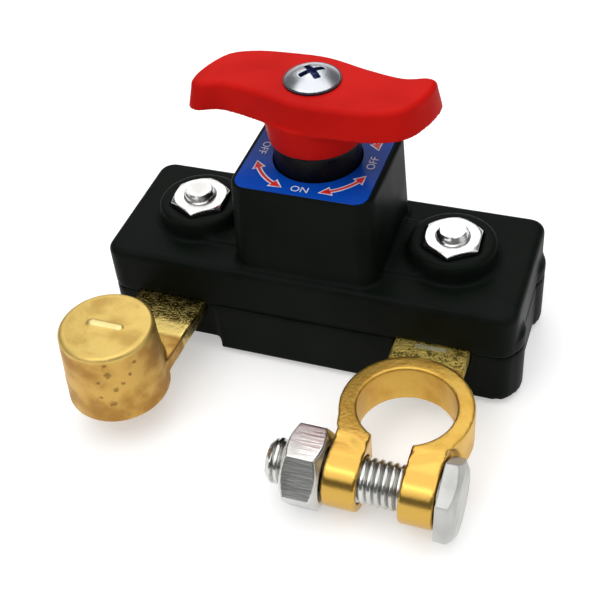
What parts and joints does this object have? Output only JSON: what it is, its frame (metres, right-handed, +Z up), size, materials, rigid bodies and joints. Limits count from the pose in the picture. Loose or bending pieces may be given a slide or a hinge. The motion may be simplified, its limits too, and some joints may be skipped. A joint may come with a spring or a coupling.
{
  "type": "battery disconnect switch",
  "caption": "Rotary battery cut-off: black two-part housing with a red S-shaped knob, a cast brass battery post on one side and a bolted split ring clamp on the other.",
  "frame": {"origin": "on the knob's axis, in the plane of the base's underside", "axes": "+X along the housing from the battery post's side to the clamp's side, +Y to the back, away from the two terminals, +Z up along the knob's axis"},
  "size_m": [0.0804, 0.0643, 0.0572],
  "materials": {
    "black_nylon": "moulded, fine matt grain with soft sheen on the edges",
    "label_film": "glossy printed film",
    "post_brass": "turned and tumbled casting, small pits",
    "clamp_brass": "casting with a grainy arm and polished eyes",
    "silver_contact": "silvered buttons",
    "nickel_steel": "bright nickel plated studs and nuts",
    "zinc_steel": "zinc plated bolt and nut",
    "spring_steel": "plain spring steel",
    "black_rotor": "moulded, smooth",
    "seal_rubber": "plain",
    "copper": "copper, plain",
    "red_plastic": "moulded, satin",
    "dark_washer": "blackened",
    "chrome_screw": "bright plated dome with a dark blue cross recess"
  },
  "bodies": {
    "housing": {"base": "black_nylon", "cover": "black_nylon", "dial_label": "label_film", "post_terminal": "post_brass", "clamp_terminal": "clamp_brass", "post_contact": "silver_contact", "clamp_contact": "silver_contact", "post_side_stud": "nickel_steel", "clamp_side_stud": "nickel_steel", "post_side_nut": "nickel_steel", "clamp_side_nut": "nickel_steel", "post_side_spring_washer": "spring_steel", "clamp_side_spring_washer": "spring_steel", "thrust_washer": "spring_steel", "housing_screws": "spring_steel"},
    "knob_and_rotor": {"rotor": "black_rotor", "shaft_seal": "seal_rubber", "contact_bridge": "copper", "contact_spring": "spring_steel", "knob": "red_plastic", "knob_washer": "dark_washer", "knob_screw": "chrome_screw"},
    "clamp_nut": {"clamp_nut": "zinc_steel"},
    "clamp_bolt": {"clamp_bolt": "zinc_steel"}
  },
  "joints": [
    {"name": "knob_turn", "type": "hinge", "parent": "housing", "child": "knob_and_rotor", "pos_m": [0, 0, 0.0382], "axis": [0, 0, 1], "continuous": true},
    {"name": "nut_turn", "type": "hinge", "parent": "housing", "child": "clamp_nut", "pos_m": [0.0106, -0.04285, 0.0062], "axis": [-1, 0, 0], "range_deg": [0, 720.5]},
    {"name": "bolt_feed", "type": "slide", "parent": "housing", "child": "clamp_bolt", "axis": [1, 0, 0], "range_m": [0, 0.0025]}
  ],
  "couplings": [
    {"joint": "nut_turn", "follows": "bolt_feed", "rad_per_m": 5026.5}
  ]
}
